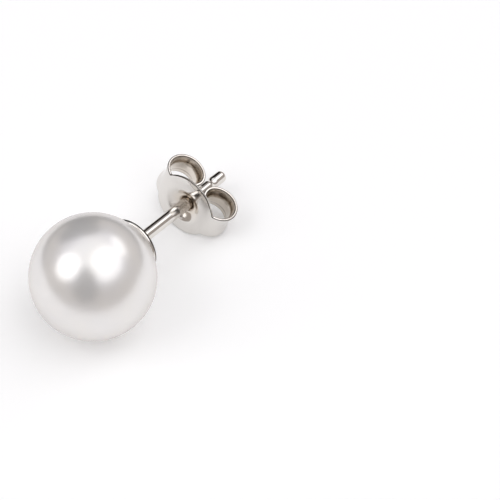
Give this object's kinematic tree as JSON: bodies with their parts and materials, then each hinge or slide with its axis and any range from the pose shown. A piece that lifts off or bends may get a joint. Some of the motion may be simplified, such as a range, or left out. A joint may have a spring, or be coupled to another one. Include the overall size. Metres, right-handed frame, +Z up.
{
  "type": "pearl stud earring",
  "caption": "Round white pearl stud earring with a silver cup and post and a butterfly clutch, lying on its side.",
  "frame": {"origin": "middle of the bottom of the bounding box, on the surface that the earring lies on", "axes": "+X along the post's shadow on the surface, from the pearl to the tip, +Y to the side of the raised wing of the clutch, +Z up"},
  "size_m": [0.017, 0.008, 0.008],
  "materials": {
    "pearl": "lustrous, like satin under a clear gloss",
    "silver": "mirror polished"
  },
  "bodies": {
    "stud": {"pearl": "pearl", "cup_and_post": "silver"},
    "clutch": {"butterfly_clutch": "silver"}
  },
  "joints": [
    {"name": "clutch_slide", "type": "slide", "parent": "stud", "child": "clutch", "axis": [0.9786, 0, -0.2059], "range_m": [-0.0048, 0.0042]}
  ]
}
